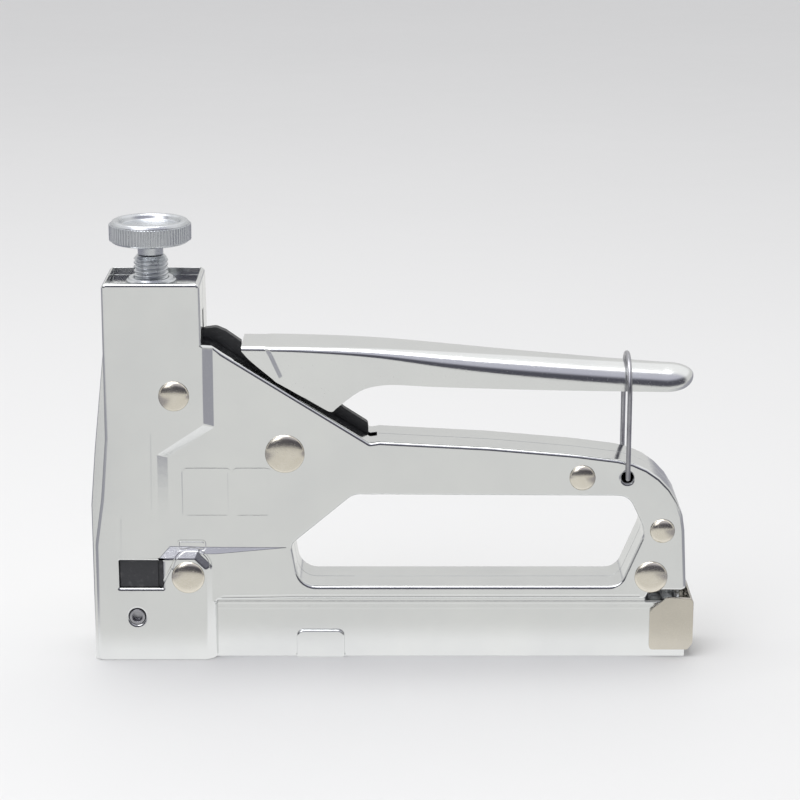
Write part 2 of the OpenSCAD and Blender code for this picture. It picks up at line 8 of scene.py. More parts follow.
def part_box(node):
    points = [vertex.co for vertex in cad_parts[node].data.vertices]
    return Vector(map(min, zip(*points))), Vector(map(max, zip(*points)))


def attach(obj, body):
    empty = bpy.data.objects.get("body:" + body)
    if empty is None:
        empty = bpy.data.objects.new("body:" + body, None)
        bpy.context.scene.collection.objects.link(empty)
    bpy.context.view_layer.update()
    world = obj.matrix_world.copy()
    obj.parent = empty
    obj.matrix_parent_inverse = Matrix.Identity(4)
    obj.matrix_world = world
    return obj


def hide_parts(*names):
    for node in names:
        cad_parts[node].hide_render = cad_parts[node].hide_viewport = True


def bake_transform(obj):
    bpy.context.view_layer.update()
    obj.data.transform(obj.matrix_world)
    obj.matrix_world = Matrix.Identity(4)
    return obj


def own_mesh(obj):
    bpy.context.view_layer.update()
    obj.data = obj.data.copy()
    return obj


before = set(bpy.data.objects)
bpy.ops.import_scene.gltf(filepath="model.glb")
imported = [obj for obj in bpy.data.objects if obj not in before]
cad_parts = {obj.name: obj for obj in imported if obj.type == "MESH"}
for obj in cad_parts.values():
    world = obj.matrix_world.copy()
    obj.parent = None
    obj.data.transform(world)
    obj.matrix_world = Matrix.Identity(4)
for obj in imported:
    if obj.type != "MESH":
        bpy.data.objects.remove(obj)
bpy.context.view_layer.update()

scene = bpy.context.scene
mm = 0.001
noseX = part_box("magazine_channel")[0].x - 2.8 * mm      # the nose's front face, where drawn lengths start


def spot(x, y, z):                                     # drawn millimetres to metres in the frame
    return Vector((noseX + x * mm, y * mm, z * mm))


class Wire:                                            # one socket of a node tree; + - * / add Math nodes
    def __init__(self, tree, socket=None):
        self.tree, self.socket = tree, socket

    def node(self, kind, settings, sockets, out=0):    # any node: its settings first, then its sockets
        made = self.tree.nodes.new(kind)
        for key, value in settings.items():
            setattr(made, key, value)
        for key, value in sockets.items():
            if isinstance(value, Wire):
                self.tree.links.new(value.socket, made.inputs[key])
            else:
                made.inputs[key].default_value = value
        return Wire(self.tree, made.outputs[out] if made.outputs else None)

    def math(self, operation, a, b=0.0):
        return self.node("ShaderNodeMath", {"operation": operation}, {0: a, 1: b})

    def __add__(self, other):
        return self.math("ADD", self, other)

    def __sub__(self, other):
        return self.math("SUBTRACT", self, other)

    def __mul__(self, other):
        return self.math("MULTIPLY", self, other)

    def __truediv__(self, other):
        return self.math("DIVIDE", self, other)

    def __radd__(self, other):
        return self.math("ADD", other, self)

    def __rsub__(self, other):
        return self.math("SUBTRACT", other, self)

    def axis(self, k):                                 # one part of a vector: 0, 1 or 2 for x, y or z
        return self.node("ShaderNodeSeparateXYZ", {}, {0: self}, k)

    def top(self, other):
        return self.math("MAXIMUM", self, other)

    def low(self, other):
        return self.math("MINIMUM", self, other)

    def size(self):
        return self.math("ABSOLUTE", self)

    def root(self):
        return self.math("SQRT", self)

    def ease(self, start, end):                        # 0 before start, 1 after end, smooth between
        return self.node("ShaderNodeMapRange", {"interpolation_type": "SMOOTHSTEP"},
                         {0: self, 1: start, 2: end, 3: 0.0, 4: 1.0})

    def stretched(self, x, y, z):                      # a vector scaled on each axis
        return self.node("ShaderNodeVectorMath", {"operation": "MULTIPLY"}, {0: self, 1: (x, y, z)})

    def noise(self, scale, detail=2.0, roughness=0.5):
        return self.node("ShaderNodeTexNoise", {}, {"Vector": self, "Scale": scale, "Detail": detail,
                                                    "Roughness": roughness})

    def blend(self, a, b):                             # colour a where this is 0, b where it is 1
        return self.node("ShaderNodeMix", {"data_type": "RGBA"}, {0: self, 6: a, 7: b}, 2)

    def bump(self, depth, under=None):                 # this height as a bump, 1 being this deep in metres
        sockets = {"Strength": 1.0, "Distance": depth, "Height": self}
        if under is not None:
            sockets["Normal"] = under
        return self.node("ShaderNodeBump", {}, sockets)


def newMaterial(name):
    material = bpy.data.materials.new(name)
    material.use_nodes = True
    material.node_tree.nodes.clear()
    tree = Wire(material.node_tree)
    return material, tree, tree.node("ShaderNodeTexCoord", {}, {}, "Object")


def finishMaterial(tree, sockets):
    surface = tree.node("ShaderNodeBsdfPrincipled", {}, sockets)
    tree.node("ShaderNodeOutputMaterial", {}, {"Surface": surface})


def rgb(red, green, blue):
    return (red, green, blue, 1.0)


def drawn(place):                                      # drawn millimetres from the nose and the base
    return (place.axis(0) - noseX) * 1000.0, place.axis(2) * 1000.0


def ring(distance, width):                             # 1 on a line where the distance is 0
    return 1.0 - distance.size().ease(width * 0.4, width)


def roundedFrame(x, z, centre, half, corner):          # distance to a rounded rectangle's edge
    qx = (x - centre[0]).size() - (half[0] - corner)
    qz = (z - centre[1]).size() - (half[1] - corner)
    ox, oz = qx.top(0.0), qz.top(0.0)
    return (ox * ox + oz * oz).root() + qx.top(qz).low(0.0) - corner


def segment(x, z, start, end):                         # distance to a straight line between two points
    dx, dz = end[0] - start[0], end[1] - start[1]
    share = (((x - start[0]) * dx + (z - start[1]) * dz) / (dx * dx + dz * dz)).top(0.0).low(1.0)
    ax, az = x - start[0] - share * dx, z - start[1] - share * dz
    return (ax * ax + az * az).root()


shellMarks = {                                         # drawn millimetres; a line has its width and strength
    "depth": 0.00009,
    "frames": [((33.9, 51.1), (6.7, 7.2)), ((47.1, 51.1), (5.3, 7.2))],   # two empty embossed frames
    "frameCorner": 1.1, "frameLine": (0.8, 0.55),
    "padCentre": (29.1, 28.6), "padRadius": 5.6, "padStart": (19.9, 22.8), "padMeets": (24.3, 31.4),
    "padLine": (0.45, 1.6), "padFootWide": 0.4,
    "lug": ((29.0, 35.2), (3.9, 1.3)), "lugCorner": 0.8,
    "creases": [((17.4, 69.5), (17.1, 47.5)), ((8.1, 43.8), (7.8, 33.0))], "creaseLine": (0.9, 0.25),
    "groove": ((37.9, 19.4), (161.2, 19.4)), "grooveLine": (0.45, 1.2),
}


def pressMarks(place):                                 # height of what the press left in the shells' sides
    x, z = drawn(place)
    height = 0.0
    wide, strong = shellMarks["frameLine"]
    for centre, half in shellMarks["frames"]:
        height = ring(roundedFrame(x, z, centre, half, shellMarks["frameCorner"]), wide) * strong + height
    wide, strong = shellMarks["padLine"]
    cx, cz = shellMarks["padCentre"]
    away = ((x - cx) * (x - cx) + (z - cz) * (z - cz)).root() - shellMarks["padRadius"]
    arc = ring(away, wide) * z.ease(cz - 0.6, cz + 0.6)
    foot = ring(segment(x, z, shellMarks["padStart"], shellMarks["padMeets"]), shellMarks["padFootWide"])
    lug = ring(roundedFrame(x, z, *shellMarks["lug"], shellMarks["lugCorner"]), wide)
    height = height - arc.top(foot).top(lug) * strong
    wide, strong = shellMarks["creaseLine"]
    for start, end in shellMarks["creases"]:
        height = height - ring(segment(x, z, start, end), wide) * strong
    wide, strong = shellMarks["grooveLine"]
    return height - ring(segment(x, z, *shellMarks["groove"]), wide) * strong


rolledLines = {"wide": 0.5, "upper": (17.0, 0.5), "lower": (15.4, 0.3)}     # height and strength


def rolledMarks(place):                                # the channel's sides keep two lines from rolling
    x, z = drawn(place)
    upper, lower = (ring(z - rolledLines[key][0], rolledLines["wide"]) * rolledLines[key][1]
                    for key in ("upper", "lower"))
    return upper + lower


platings = {
    "brightChrome": {"light": rgb(0.80, 0.81, 0.80), "dark": rgb(0.71, 0.72, 0.725), "roughness": 0.13,
                     "haze": 0.10, "patch": 42.0, "peel": 0.000012, "grain": (1.0, 1.0, 14.0)},
    "handleChrome": {"light": rgb(0.83, 0.84, 0.83), "dark": rgb(0.74, 0.75, 0.755), "roughness": 0.17,
                     "haze": 0.08, "patch": 34.0, "peel": 0.000008, "grain": (0.6, 6.0, 10.0)},
    "rivetNickel": {"light": rgb(0.83, 0.79, 0.70), "dark": rgb(0.70, 0.65, 0.56), "roughness": 0.23,
                    "haze": 0.08, "patch": 160.0, "peel": 0.000006, "grain": (1.0, 1.0, 1.0)},
    "capNickel": {"light": rgb(0.66, 0.62, 0.54), "dark": rgb(0.55, 0.52, 0.46), "roughness": 0.17,
                  "haze": 0.12, "patch": 90.0, "peel": 0.00001, "grain": (1.0, 1.0, 9.0)},
    "satinZinc": {"light": rgb(0.72, 0.74, 0.76), "dark": rgb(0.56, 0.58, 0.61), "roughness": 0.29,
                  "haze": 0.14, "patch": 210.0, "peel": 0.000014, "grain": (1.0, 1.0, 1.0)},
    "springSteel": {"light": rgb(0.50, 0.50, 0.52), "dark": rgb(0.30, 0.30, 0.33), "roughness": 0.30,
                    "haze": 0.12, "patch": 260.0, "peel": 0.00001, "grain": (1.0, 1.0, 1.0)},
}


marked = {"brightChrome": pressMarks, "channelChrome": rolledMarks}
alike = {"sheetChrome": "brightChrome", "channelChrome": "brightChrome"}    # one plating, marked otherwise


def platedMetal(name):
    look, marks = platings[alike.get(name, name)], marked.get(name)
    material, tree, place = newMaterial(name)
    patches = place.noise(look["patch"], 4.0, 0.55)
    grain = place.stretched(*look["grain"]).noise(900.0, 3.0, 0.6)
    stains = place.noise(look["patch"] * 5.0, 3.0, 0.7)
    pits = 1.0 - place.noise(2600.0, 1.0).ease(0.24, 0.34)
    color = (patches * 1.5 - 0.25 + (grain - 0.5) * 0.5).blend(look["dark"], look["light"])
    roughness = (look["roughness"] + (patches - 0.5) * look["haze"] + (stains - 0.5) * look["haze"]
                 + (grain - 0.5) * 0.08 + pits * 0.12).top(0.05)
    shape = (place.noise(620.0, 2.0) * 0.8 + grain * 0.5 - pits * 0.4).bump(look["peel"])
    if marks:
        shape = marks(place).bump(shellMarks["depth"], shape)
    finishMaterial(tree, {"Base Color": color, "Metallic": 1.0, "Roughness": roughness, "Normal": shape})
    return material


blackOxide = {"color": rgb(0.052, 0.053, 0.056), "worn": rgb(0.14, 0.14, 0.145), "roughness": 0.42}


def oxideSteel():
    material, tree, place = newMaterial("blackOxide")
    cloud = place.noise(120.0, 4.0, 0.6)
    rub = place.stretched(1.0, 1.0, 7.0).noise(500.0, 3.0, 0.65).ease(0.56, 0.72)
    color = (rub * 0.55 + (cloud - 0.5) * 0.5).top(0.0).blend(blackOxide["color"], blackOxide["worn"])
    finishMaterial(tree, {
        "Base Color": color, "Metallic": 0.75,
        "Roughness": blackOxide["roughness"] + (cloud - 0.5) * 0.2 - rub * 0.12,
        "Normal": (place.noise(1500.0, 3.0, 0.6) * 0.7 + rub * 0.3).bump(0.00002)})
    return material


stopRubber = {"color": rgb(0.055, 0.056, 0.06), "dust": rgb(0.14, 0.14, 0.14), "roughness": 0.72}


def rubber():
    material, tree, place = newMaterial("stopRubber")
    dust = place.noise(300.0, 4.0, 0.6).ease(0.48, 0.75)
    finishMaterial(tree, {
        "Base Color": dust.blend(stopRubber["color"], stopRubber["dust"]),
        "Roughness": stopRubber["roughness"] + dust * 0.15,
        "Normal": (place.noise(2200.0, 3.0, 0.6) + dust * 0.4).bump(0.00004)})
    return material


finishes = {name: platedMetal(name) for name in (*platings, *alike)}
finishes["blackOxide"] = oxideSteel()
finishes["stopRubber"] = rubber()
print("finishes:", len(finishes))


def addMesh(name, mesh):
    piece = bpy.data.objects.new(name, mesh)
    scene.collection.objects.link(piece)
    return piece


def meshFrom(work, name):
    mesh = bpy.data.meshes.new(name)
    work.to_mesh(mesh)
    work.free()
    return mesh


def applied(piece):                                    # the piece with its modifiers made real
    bpy.context.view_layer.update()
    mesh = bpy.data.meshes.new_from_object(piece.evaluated_get(bpy.context.evaluated_depsgraph_get()))
    piece.modifiers.clear()
    piece.data = mesh
    return piece


def welded(piece, gap):                                # joins points closer than the gap, faces outward
    work = bmesh.new()
    work.from_mesh(piece.data)
    bmesh.ops.remove_doubles(work, verts=work.verts, dist=gap)
    bmesh.ops.recalc_face_normals(work, faces=work.faces)
    work.to_mesh(piece.data)
    work.free()
    return piece


def smoothShade(piece, angle):
    for face in piece.data.polygons:
        face.use_smooth = True
    piece.data.set_sharp_from_angle(angle=math.radians(angle))


def seat(piece, body, finish, slot, *stoodFor):
    piece.data.materials.clear()
    piece.data.materials.append(finishes[finish])
    for face in piece.data.polygons:
        face.material_index = 0
    if body:
        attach(piece, body)
    if stoodFor:
        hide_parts(*stoodFor)


# each rivet's x and z, the seat of its head, the head's radius and dome, the shank's radius
rivetRows = [
    (25.0, 81.2, 12.0, 4.5, 1.6, 1.8), (56.8, 63.2, 9.6, 5.8, 1.6, 2.6), (28.0, 26.0, 12.0, 4.9, 1.6, 2.0),
    (143.8, 55.9, 9.6, 3.85, 1.6, 1.8), (167.6, 39.6, 9.6, 3.7, 1.6, 1.8), (164.6, 25.3, 9.6, 4.9, 1.6, 1.8)]
loopMiddle = 100.0                                     # x at the middle of the hand's opening
shellCuts = sorted({row[0] for row in rivetRows} | {loopMiddle})
for name in ("nose_pin", "bail"):
    low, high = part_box(name)
    shellCuts.append(((low.x + high.x) / 2 - noseX) / mm)

rounding = {"steps": 3, "shellSteps": 5, "flatBelow": 0.6, "sharpAbove": 28, "smoothBelow": 60}
edgeShares = {"outline": 1.0, "slope": 0.42, "inner": 0.12, "footBand": 0.1, "flattest": 20, "outward": 0.6}
jog = {"long": 0.6, "side": 9.5, "turn": 25}
footBand = {"x": (30.5, 58.5), "y": (9.5, 11.0), "z": (31.0, 35.0),      # zones of drawn millimetres
            "foot": (10.6, 31.4), "steeper": 1.4, "pad": 36.0}
windowTop = {"x": (-10.0, 20.6), "y": (10.0, 20.0), "z": (31.3, 31.65), "lower": 0.6}
slopeTop = {"x": (31.0, 40.0), "y": (8.0, 20.0), "z": (90.5, 98.5),
            "short": 0.5, "levels": (12.0, 10.8, 9.6)}


def measured(point):                                   # drawn millimetres, either side alike
    return (point.x - noseX) / mm, abs(point.y) / mm, point.z / mm


def inZone(point, zone):
    return all(zone[axis][0] < value < zone[axis][1] for axis, value in zip("xyz", measured(point)))


def isJog(edge):                                       # a very short edge that turns sharply at both ends
    if edge.calc_length() > jog["long"] * mm or abs(edge.verts[0].co.y) < jog["side"] * mm:
        return False
    for vert in edge.verts:
        ahead = vert.co - edge.other_vert(vert).co
        onward = [other.other_vert(vert).co - vert.co for other in vert.link_edges if other is not edge]
        if min(ahead.angle(way) for way in onward) < math.radians(jog["turn"]):
            return False
    return True


def isFillet(edge):                                    # a short step of the round corner at the slope's top
    isShort = edge.calc_length() < slopeTop["short"] * mm
    return isShort and all(inZone(vert.co, slopeTop) for vert in edge.verts)


def reshape(point):                                    # steeper foot band, lower window, plain slope top
    x, side, z = measured(point)
    if abs(side - footBand["foot"][0]) < 0.02 and abs(z - footBand["foot"][1]) < 0.05:
        lift = footBand["steeper"] * mm
        point.x -= lift if x < footBand["pad"] else 0.0
        point.z += lift
    if inZone(point, windowTop):                       # keeps the window clear of the pad's edge
        point.z -= windowTop["lower"] * mm
    for level in slopeTop["levels"]:
        if inZone(point, slopeTop) and abs(side - level) < 0.2:
            point.y = math.copysign(level * mm, point.y)


def facesOut(face):                                    # away from the middle plane
    outward = face.normal.y * face.calc_center_median().y > 0
    return outward and abs(face.normal.y) > edgeShares["outward"]


def edgeShare(edge):                                   # how much of the rounding an edge of a shell gets
    if len(edge.link_faces) != 2 or edge.calc_face_angle() < math.radians(edgeShares["flattest"]):
        return 0.0
    if inZone((edge.verts[0].co + edge.verts[1].co) / 2, footBand):
        return edgeShares["footBand"]
    outer = [face for face in edge.link_faces if facesOut(face)]
    if not outer or not edge.is_convex:
        return edgeShares["inner"]
    return edgeShares["slope" if len(outer) == 2 else "outline"]


def cutUpright(work):                                  # cuts through each hole keep a shell's flats plain
    for x in shellCuts:
        cut = bmesh.ops.bisect_plane(work, geom=[*work.verts, *work.edges, *work.faces], dist=1e-6,
                                     plane_co=spot(x, 0, 0), plane_no=(1, 0, 0))["geom_cut"]
        for edge in cut:
            if isinstance(edge, bmesh.types.BMEdge):
                edge.seam = True


def shareOut(work):                                    # merges a shell's tiny steps, then weighs its edges
    bmesh.ops.collapse(work, edges=[edge for edge in work.edges if isJog(edge) or isFillet(edge)])
    for vert in work.verts:
        reshape(vert.co)
    work.normal_update()
    share = work.edges.layers.float.new("bevel_weight_edge")
    for edge in work.edges:
        edge[share] = edgeShare(edge)


def softEdged(node, radius, shell):                    # a CAD node's shape with its edges rounded over
    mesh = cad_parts[node].data.copy()
    work = bmesh.new()
    work.from_mesh(mesh)
    bmesh.ops.remove_doubles(work, verts=work.verts, dist=2e-6)
    if shell:
        cutUpright(work)
    bmesh.ops.dissolve_limit(work, angle_limit=math.radians(rounding["flatBelow"]), verts=work.verts,
                             edges=work.edges, use_dissolve_boundaries=False, delimit={"SEAM"})
    if shell:
        shareOut(work)
    work.to_mesh(mesh)
    work.free()
    piece = addMesh(node + "Rounded", mesh)
    bevel = piece.modifiers.new("edges", "BEVEL")
    bevel.width, bevel.segments = radius, rounding["shellSteps" if shell else "steps"]
    bevel.limit_method = "WEIGHT" if shell else "ANGLE"
    bevel.angle_limit = math.radians(rounding["sharpAbove"])
    bevel.use_clamp_overlap = bevel.loop_slide = not shell
    bevel.miter_outer = "MITER_ARC"
    flats = piece.modifiers.new("flats", "WEIGHTED_NORMAL")  # flat faces keep their own direction
    flats.mode, flats.weight, flats.keep_sharp = "FACE_AREA", 100, True
    smoothShade(piece, rounding["smoothBelow"])
    return applied(piece)


def lathe(name, profile, centre, sides=96):            # (radius, height) in millimetres turned about Z
    work = bmesh.new()
    turn = [2 * math.pi * k / sides for k in range(sides)]
    rows = []
    for radius, height in ((a * mm, b * mm) for a, b in profile):
        circle = [(radius * math.cos(a), radius * math.sin(a), height) for a in turn]
        if radius < 1e-7:
            circle = [(0, 0, height)]
        rows.append([work.verts.new(centre + Vector(point)) for point in circle])
    for low, high in zip(rows, rows[1:]):
        for k in range(sides):
            m = (k + 1) % sides
            corners = [low[k % len(low)], low[m % len(low)], high[m % len(high)], high[k % len(high)]]
            unique = list(dict.fromkeys(corners))
            if len(unique) > 2:
                work.faces.new(unique)
    bmesh.ops.recalc_face_normals(work, faces=work.faces)
    return addMesh(name, meshFrom(work, name))


def softened(profile, radius, steps=4):                # an open outline with its inner corners rounded
    out = [profile[0]]
    for before, corner, after in zip(profile, profile[1:], profile[2:]):
        p, a, b = Vector(corner), Vector(before), Vector(after)
        reach = min(radius, (a - p).length * 0.45, (b - p).length * 0.45)
        start, end = p + (a - p).normalized() * reach, p + (b - p).normalized() * reach
        for k in range(steps + 1):
            t = k / steps
            out.append(tuple(start * (1 - t) ** 2 + p * (2 * t * (1 - t)) + end * t ** 2))
    return out + [profile[-1]]


def newTree(name, sizes, takesPoints=False):           # a geometry tree with a named input for each size
    group = bpy.data.node_groups.new(name, "GeometryNodeTree")
    group.interface.new_socket("Geometry", in_out="OUTPUT", socket_type="NodeSocketGeometry")
    if takesPoints:
        group.interface.new_socket("Geometry", in_out="INPUT", socket_type="NodeSocketGeometry")
    keys = {}
    for label, value in sizes.items():
        kind = "NodeSocketInt" if isinstance(value, int) else "NodeSocketFloat"
        keys[label] = group.interface.new_socket(label, in_out="INPUT", socket_type=kind).identifier
    start = group.nodes.new("NodeGroupInput")
    given = {socket.name: Wire(group, socket) for socket in start.outputs if socket.name}
    return Wire(group), given, keys


def endTree(tree, geometry, finish):
    real = tree.node("GeometryNodeRealizeInstances", {}, {0: geometry})
    dressed = tree.node("GeometryNodeSetMaterial", {}, {"Geometry": real, "Material": finishes[finish]})
    tree.node("NodeGroupOutput", {}, {0: dressed})


def grown(name, tree, keys, sizes, mesh=None):         # runs a tree once and keeps its mesh
    piece = addMesh(name, mesh or bpy.data.meshes.new(name))
    modifier = piece.modifiers.new("grow", "NODES")
    modifier.node_group = tree.tree
    for label, value in sizes.items():
        modifier[keys[label]] = value
    return applied(piece)


def vector(tree, x, y, z):
    return tree.node("ShaderNodeCombineXYZ", {}, {0: x, 1: y, 2: z})


def sweptRod(tree, path, section):
    return tree.node("GeometryNodeCurveToMesh", {}, {
        "Curve": path, "Profile Curve": section, "Fill Caps": True})


def coilTree():                                        # round wire wound about Z
    tree, given, keys = newTree("windCoil", {
        "turns": 1.0, "radius": 1.0, "wire": 1.0, "length": 1.0, "steps": 1})
    path = tree.node("GeometryNodeCurveSpiral", {}, {
        "Resolution": given["steps"], "Rotations": given["turns"], "Start Radius": given["radius"],
        "End Radius": given["radius"], "Height": given["length"]})
    section = tree.node("GeometryNodeCurvePrimitiveCircle", {}, {"Resolution": 12, "Radius": given["wire"]})
    rod = sweptRod(tree, path, section)
    smooth = tree.node("GeometryNodeSetShadeSmooth", {}, {0: rod})
    endTree(tree, smooth, "springSteel")
    return tree, keys


def threadTree():                                      # a threaded rod about Z, closed at both ends
    tree, given, keys = newTree("cutThread", {
        "radius": 1.0, "depth": 1.0, "pitch": 1.0, "length": 1.0, "around": 1, "rows": 1})
    grid = tree.node("GeometryNodeMeshGrid", {}, {
        "Size X": 1.0, "Size Y": 1.0, "Vertices X": given["around"], "Vertices Y": given["rows"]})
    place = tree.node("GeometryNodeInputPosition", {}, {})
    u, v = place.axis(0) + 0.5, place.axis(1) + 0.5
    wave = tree.math("FRACT", v * given["length"] / given["pitch"] - u)
    cut = (1.0 - ((wave - 0.5).size() * 2.6).low(1.0)) * given["depth"]
    nearEnd = v.low(1.0 - v) * given["length"]
    shoulder = (given["pitch"] - nearEnd).top(0.0) * 0.9
    closed = tree.math("GREATER_THAN", nearEnd, 1e-7)
    reach = (given["radius"] - cut.top(shoulder.low(given["depth"] * 1.6))) * closed
    angle = u * (2.0 * math.pi)
    x, y = reach * tree.math("COSINE", angle), reach * tree.math("SINE", angle)
    moved = vector(tree, x, y, v * given["length"])
    shaped = tree.node("GeometryNodeSetPosition", {}, {"Geometry": grid, "Position": moved})
    merged = tree.node("GeometryNodeMergeByDistance", {}, {"Geometry": shaped, "Distance": 1e-6})
    endTree(tree, tree.node("GeometryNodeSetShadeSmooth", {}, {0: merged}), "satinZinc")
    return tree, keys


def knurlTree():                                       # upright ribs round a knob's rim
    tree, given, keys = newTree("knurlRim", {"count": 1, "radius": 1.0, "rib": 1.0, "height": 1.0})
    rim = tree.node("GeometryNodeMeshCircle", {}, {"Vertices": given["count"], "Radius": given["radius"]})
    foot, head = (vector(tree, 0.0, 0.0, given["height"] * share) for share in (-0.5, 0.5))
    line = tree.node("GeometryNodeCurvePrimitiveLine", {}, {"Start": foot, "End": head})
    section = tree.node("GeometryNodeCurvePrimitiveCircle", {}, {"Resolution": 8, "Radius": given["rib"]})
    rod = sweptRod(tree, line, section)
    ribs = tree.node("GeometryNodeInstanceOnPoints", {}, {"Points": rim, "Instance": rod})
    endTree(tree, ribs, "satinZinc")
    return tree, keys


def rivetTree():                                       # domed heads and their shanks on given points
    tree, given, keys = newTree("setRivets", {"sides": 1}, takesPoints=True)
    ball = tree.node("GeometryNodeMeshUVSphere", {}, {
        "Segments": given["sides"], "Rings": given["sides"] * 0.5, "Radius": 1.0})
    place = tree.node("GeometryNodeInputPosition", {}, {})
    x, y, z = (place.axis(k) for k in range(3))
    domed = vector(tree, x, y, z.top(z * 0.06))
    dome = tree.node("GeometryNodeSetPosition", {}, {"Geometry": ball, "Position": domed})
    rod = tree.node("GeometryNodeMeshCylinder", {}, {"Vertices": 32, "Radius": 1.0, "Depth": 1.0})
    sunk = tree.node("GeometryNodeTransform", {}, {"Geometry": rod, "Translation": (0.0, 0.0, -0.5)})
    parts = []
    for shape, size in ((dome, "headSize"), (sunk, "shankSize")):
        scale = tree.node("GeometryNodeInputNamedAttribute", {"data_type": "FLOAT_VECTOR"}, {"Name": size})
        turn = tree.node("GeometryNodeInputNamedAttribute", {"data_type": "FLOAT_VECTOR"}, {"Name": "turn"})
        parts.append(tree.node("GeometryNodeInstanceOnPoints", {}, {
            "Points": given["Geometry"], "Instance": shape, "Scale": scale, "Rotation": turn}))
    joined = tree.node("GeometryNodeJoinGeometry", {}, {0: parts[0]})
    tree.tree.links.new(parts[1].socket, joined.socket.node.inputs[0])
    endTree(tree, joined, "rivetNickel")
    return tree, keys


sheetEdges = {                                         # node: edge radius in metres, body, finish, slot
    "left_shell": (0.00095, "frame", "brightChrome", "chrome_body"),
    "right_shell": (0.00095, "frame", "brightChrome", "chrome_body"),
    "front_plate": (0.0003, "frame", "sheetChrome", "chrome_body"),
    "top_cap": (0.0002, "frame", "sheetChrome", "chrome_body"),
    "magazine_channel": (0.00025, "frame", "channelChrome", "chrome_body"),
    "channel_strap": (0.0004, "frame", "sheetChrome", "chrome_body"),
    "end_cap": (0.0003, "pusher", "capNickel", "nickel"),
    "lever": (0.0003, "lever", "blackOxide", "black_steel"),
    "bumper": (0.0003, "frame", "stopRubber", "rubber"),
    "plunger": (0.0002, "plunger", "satinZinc", "zinc"),
    "driver_blade": (0.00012, "plunger", "springSteel", "spring_steel"),
    "pusher_follower": (0.0002, "follower", "satinZinc", "zinc"),
    "nose_pin": (0.0002, "frame", "springSteel", "spring_steel"),
}
for node, (radius, body, finish, slot) in sheetEdges.items():
    seat(softEdged(node, radius, node.endswith("shell")), body, finish, slot, node)
print("sheets:", len(sheetEdges))

plainNodes = {                                         # CAD meshes that stay, with their finish
    "spring_cup": "satinZinc", "blade_rivets": "rivetNickel", "handle_pin": "satinZinc",
    "pivot_sleeve": "satinZinc", "frame_spacers": "satinZinc", "pusher_rod": "satinZinc",
    "bail": "springSteel",
}
for node, finish in plainNodes.items():
    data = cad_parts[node].data
    data.materials.clear()
    data.materials.append(finishes[finish])


squeezeHandle = {                                      # drawn millimetres; the lists are x and a value there
    "start": 44.5, "end": 176.4, "wall": 1.2, "rim": 0.3, "stations": 300,
    "sideSteps": 40, "crownSteps": 14,
    "low": [(44.4, 94.0), (45.0, 93.2), (47.0, 91.0), (53.4, 85.5), (54.4, 84.6), (55.6, 83.9), (69.2, 76.1),
            (70.6, 75.8), (72.0, 76.9), (76.0, 80.1), (79.4, 82.3), (83.0, 83.4), (88.0, 83.9), (100.0, 83.3),
            (128.0, 82.2), (155.0, 81.4), (167.5, 81.1)],
    "crown": [(44.4, 95.1), (60.0, 94.95), (84.0, 94.2), (120.0, 91.6), (148.0, 89.5), (167.5, 88.2)],
    "half": [(44.4, 9.3), (92.0, 9.3), (128.0, 8.3), (160.0, 7.0), (167.5, 6.7)],
    "round": [(44.4, 1.3), (62.0, 1.5), (84.0, 2.6), (105.0, 4.4), (130.0, 5.6), (167.5, 6.3)],
    "tailStart": 167.5, "tailMiddle": 84.7, "tailPower": 2.3, "tailLeast": 0.04,
    "fold": [(50.9, 97.0), (51.4, 95.5), (53.1, 92.3), (55.9, 86.0), (60.0, 82.4), (65.7, 78.5),
             (71.5, 74.4)],
    "foldIn": 0.6, "foldWide": 1.3, "foldReach": 29.0, "foldStations": 0.6,
}


def along(points, x):                                  # smooth value at x through (x, value) points
    k = max(i for i, point in enumerate(points) if point[0] <= x or i == 0)
    if k == len(points) - 1:
        return points[-1][1]
    (x0, y0), (x1, y1) = points[k], points[k + 1]
    before = points[k - 1] if k else points[k]
    after = points[k + 2] if k + 2 < len(points) else points[k + 1]

    def slope(p, q, r):
        return 0.0 if (q[1] - p[1]) * (r[1] - q[1]) <= 0 else (r[1] - p[1]) / (r[0] - p[0])

    m0 = slope(before, points[k], points[k + 1]) if k else (y1 - y0) / (x1 - x0)
    m1 = slope(points[k], points[k + 1], after) if k + 2 < len(points) else (y1 - y0) / (x1 - x0)
    t, w = (x - x0) / (x1 - x0), x1 - x0
    return ((2 * t ** 3 - 3 * t ** 2 + 1) * y0 + (t ** 3 - 2 * t ** 2 + t) * w * m0
            + (3 * t ** 2 - 2 * t ** 3) * y1 + (t ** 3 - t ** 2) * w * m1)


def besideFold(x, z):                                  # how far a point lies below the handle's front fold
    best, side = 1e9, 1
    fold = squeezeHandle["fold"]
    for (x0, z0), (x1, z1) in zip(fold, fold[1:]):
        dx, dz = x1 - x0, z1 - z0
        t = max(0.0, min(1.0, ((x - x0) * dx + (z - z0) * dz) / (dx ** 2 + dz ** 2)))
        gap = math.hypot(x - x0 - t * dx, z - z0 - t * dz)
        if gap < best:
            best, side = gap, dx * (z - z0) - dz * (x - x0)
    return best if side < 0 else -best


def stationAt(share):                                  # x of a station, closer together across the fold
    h = squeezeHandle
    near = h["foldStations"]
    if share < near:
        return h["start"] + h["foldReach"] * share / near
    rest = math.sin((share - near) / (1 - near) * math.pi / 2)
    return h["start"] + h["foldReach"] + (h["end"] - h["start"] - h["foldReach"]) * rest


